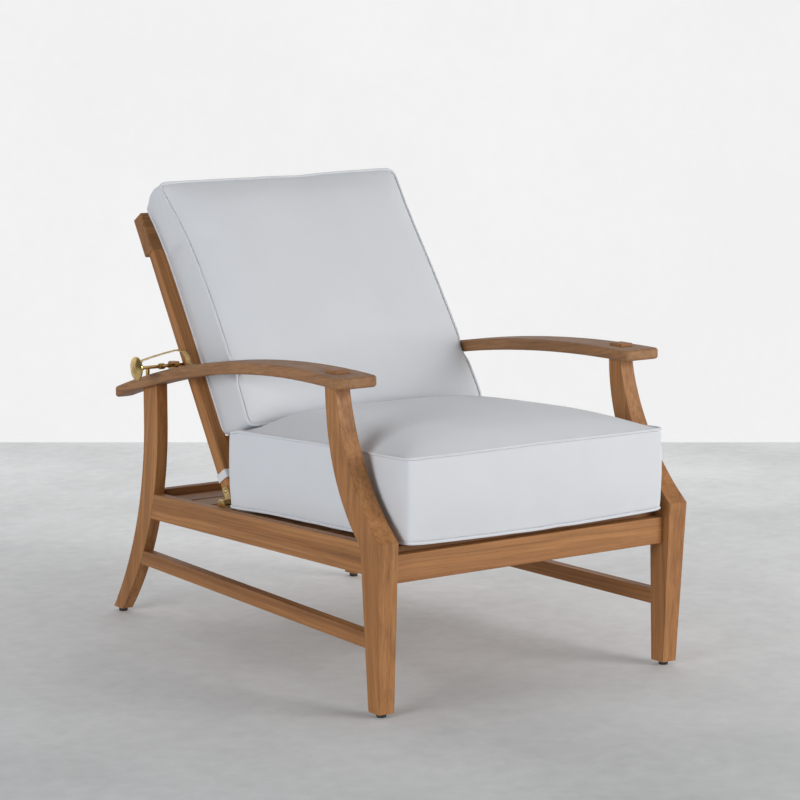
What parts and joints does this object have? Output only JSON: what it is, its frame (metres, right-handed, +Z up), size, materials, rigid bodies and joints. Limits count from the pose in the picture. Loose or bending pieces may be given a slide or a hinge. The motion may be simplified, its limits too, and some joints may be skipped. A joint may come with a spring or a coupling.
{
  "type": "outdoor recliner",
  "caption": "Outdoor teak lounge chair with arched arms, loose seat and back cushions, and a back that reclines on a brass bar sliding along the rear of the arms",
  "frame": {"origin": "on the floor under the middle of the chair's outline", "axes": "+Z up, -Y to the front where the sitter's feet are, +X to the left of a sitter"},
  "size_m": [0.757, 1.0464, 0.9031],
  "materials": {
    "teak": "light teak, planed and oiled",
    "cushion_fabric": "plain woven outdoor canvas in cool white",
    "tie_tape": "white woven tape",
    "glide_plastic": "black plastic",
    "screw_brass": "dull brass",
    "shoe_bronze": "coppery bronze, lightly worn",
    "brass": "aged brass with polished highs"
  },
  "bodies": {
    "frame": {"arm_left": "teak", "arm_right": "teak", "arm_screws": "screw_brass", "bracket_screws": "screw_brass", "front_leg_left": "teak", "front_leg_right": "teak", "front_rail": "teak", "glides": "glide_plastic", "guard_strap_left": "brass", "guard_strap_right": "brass", "hinge_bracket_left": "brass", "hinge_bracket_right": "brass", "rack_left": "brass", "rack_right": "brass", "rear_leg_left": "teak", "rear_leg_right": "teak", "rear_rail": "teak", "seat_cushion": "cushion_fabric", "seat_slat_01": "teak", "seat_slat_02": "teak", "seat_slat_03": "teak", "seat_slat_04": "teak", "seat_slat_05": "teak", "seat_slat_06": "teak", "seat_slat_07": "teak", "seat_slat_08": "teak", "seat_slat_09": "teak", "seat_slat_10": "teak", "side_rail_left": "teak", "side_rail_right": "teak", "side_stretcher_left": "teak", "side_stretcher_right": "teak", "slat_cleat_left": "teak", "slat_cleat_right": "teak", "slat_screws": "screw_brass", "stop_posts": "brass", "tenon_plug_left": "teak", "tenon_plug_right": "teak"},
    "back": {"back_stile_left": "teak", "back_stile_right": "teak", "head_rail": "teak", "lower_back_rail": "teak", "hinge_leaf_left": "brass", "hinge_leaf_right": "brass", "leaf_screws": "screw_brass", "cushion_tie_left": "tie_tape", "cushion_tie_right": "tie_tape", "back_cushion": "cushion_fabric", "back_slat_1": "teak", "back_slat_2": "teak", "back_slat_3": "teak", "back_slat_4": "teak", "back_slat_5": "teak"},
    "recline bar": {"recline_bar": "brass", "bar_shoe_left": "shoe_bronze", "bar_shoe_right": "shoe_bronze", "end_disc_left": "brass", "end_disc_right": "brass", "bar_collars": "brass"}
  },
  "joints": [
    {"name": "back_recline", "type": "hinge", "parent": "frame", "child": "back", "pos_m": [0, 0.11248, 0.28621], "axis": [-1, 0, 0], "range_deg": [0, 13.3]},
    {"name": "bar_slide", "type": "slide", "parent": "frame", "child": "recline bar", "axis": [0, 0.9689, -0.2475], "range_m": [0, 0.0836]}
  ],
  "couplings": [
    {"joint": "bar_slide", "follows": "back_recline", "m_per_rad": 0.36}
  ]
}
